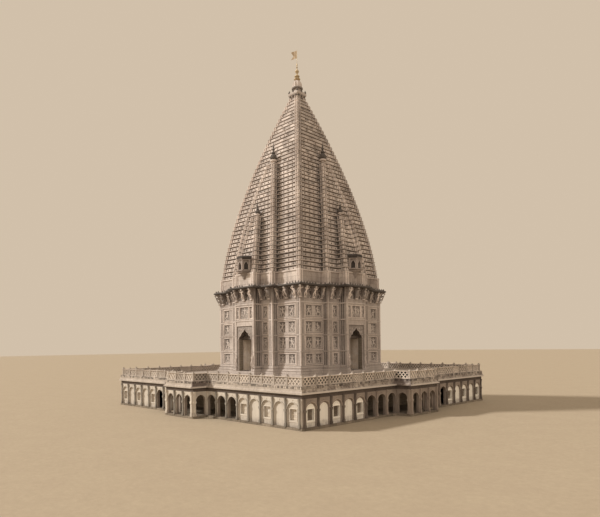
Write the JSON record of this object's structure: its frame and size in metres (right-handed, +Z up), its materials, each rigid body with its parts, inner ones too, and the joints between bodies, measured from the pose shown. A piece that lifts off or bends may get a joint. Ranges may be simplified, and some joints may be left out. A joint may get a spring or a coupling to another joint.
{
  "type": "hindu temple",
  "caption": "Square stone temple tower with a tall curved spire, half spires and oriels, and hinged doors, on an arcaded terrace with porches and a balustrade.",
  "frame": {"origin": "on the ground, on the tower's vertical axis", "axes": "+Z up, +Y from the front towards the back, +X to the right seen from the front"},
  "size_m": [25.5, 25.5, 31.6],
  "materials": {
    "sandstone": "dressed, weathered",
    "carved_stone": "carved, weathered",
    "plaster": "limewashed, stained",
    "masonry": "rough, worn",
    "shutter_wood": "weathered",
    "door_wood": "oiled, worn",
    "gilt_metal": "dulled",
    "cloth": "plain woven cotton"
  },
  "bodies": {
    "temple": {"plinth": "masonry", "platform_core": "masonry", "terrace_floor": "plaster", "tower_base": "sandstone", "upper_wall": "sandstone", "tower_eave": "carved_stone", "spire_band": "sandstone", "main_spire": "carved_stone", "spire_abacus": "carved_stone", "crown_dome": "carved_stone", "finial": "gilt_metal", "pennant": "cloth", "front_right_arcade_wall": "plaster", "front_right_shutters": "shutter_wood", "front_right_tower_wall": "sandstone", "back_right_arcade_wall": "plaster", "back_right_shutters": "shutter_wood", "back_right_tower_wall": "sandstone", "back_left_arcade_wall": "plaster", "back_left_shutters": "shutter_wood", "back_left_tower_wall": "sandstone", "front_left_arcade_wall": "plaster", "front_left_shutters": "shutter_wood", "front_left_tower_wall": "sandstone", "front_arcade": "plaster", "front_balustrade": "plaster", "front_door_surround": "carved_stone", "front_tall_half_spire": "carved_stone", "front_low_half_spire": "carved_stone", "front_oriel": "carved_stone", "right_arcade": "plaster", "right_balustrade": "plaster", "right_door_surround": "carved_stone", "right_tall_half_spire": "carved_stone", "right_low_half_spire": "carved_stone", "right_oriel": "carved_stone", "back_arcade": "plaster", "back_balustrade": "plaster", "back_door_surround": "carved_stone", "back_tall_half_spire": "carved_stone", "back_low_half_spire": "carved_stone", "back_oriel": "carved_stone", "left_arcade": "plaster", "left_balustrade": "plaster", "left_door_surround": "carved_stone", "left_tall_half_spire": "carved_stone", "left_low_half_spire": "carved_stone", "left_oriel": "carved_stone"},
    "front_left_leaf": {"front_door_left_leaf": "door_wood"},
    "front_right_leaf": {"front_door_right_leaf": "door_wood"},
    "right_left_leaf": {"right_door_left_leaf": "door_wood"},
    "right_right_leaf": {"right_door_right_leaf": "door_wood"},
    "back_left_leaf": {"back_door_left_leaf": "door_wood"},
    "back_right_leaf": {"back_door_right_leaf": "door_wood"},
    "left_left_leaf": {"left_door_left_leaf": "door_wood"},
    "left_right_leaf": {"left_door_right_leaf": "door_wood"}
  },
  "joints": [
    {"name": "front_left_hinge", "type": "hinge", "parent": "temple", "child": "front_left_leaf", "pos_m": [-0.87, -5.85, 3.05], "axis": [0, 0, 1], "range_deg": [-80, 8]},
    {"name": "front_right_hinge", "type": "hinge", "parent": "temple", "child": "front_right_leaf", "pos_m": [0.87, -5.85, 3.05], "axis": [0, 0, -1], "range_deg": [-80, 8]},
    {"name": "right_left_hinge", "type": "hinge", "parent": "temple", "child": "right_left_leaf", "pos_m": [5.85, -0.87, 3.05], "axis": [0, 0, 1], "range_deg": [-80, 8]},
    {"name": "right_right_hinge", "type": "hinge", "parent": "temple", "child": "right_right_leaf", "pos_m": [5.85, 0.87, 3.05], "axis": [0, 0, -1], "range_deg": [-80, 8]},
    {"name": "back_left_hinge", "type": "hinge", "parent": "temple", "child": "back_left_leaf", "pos_m": [0.87, 5.85, 3.05], "axis": [0, 0, 1], "range_deg": [-80, 8]},
    {"name": "back_right_hinge", "type": "hinge", "parent": "temple", "child": "back_right_leaf", "pos_m": [-0.87, 5.85, 3.05], "axis": [0, 0, -1], "range_deg": [-80, 8]},
    {"name": "left_left_hinge", "type": "hinge", "parent": "temple", "child": "left_left_leaf", "pos_m": [-5.85, 0.87, 3.05], "axis": [0, 0, 1], "range_deg": [-80, 8]},
    {"name": "left_right_hinge", "type": "hinge", "parent": "temple", "child": "left_right_leaf", "pos_m": [-5.85, -0.87, 3.05], "axis": [0, 0, -1], "range_deg": [-80, 8]}
  ]
}
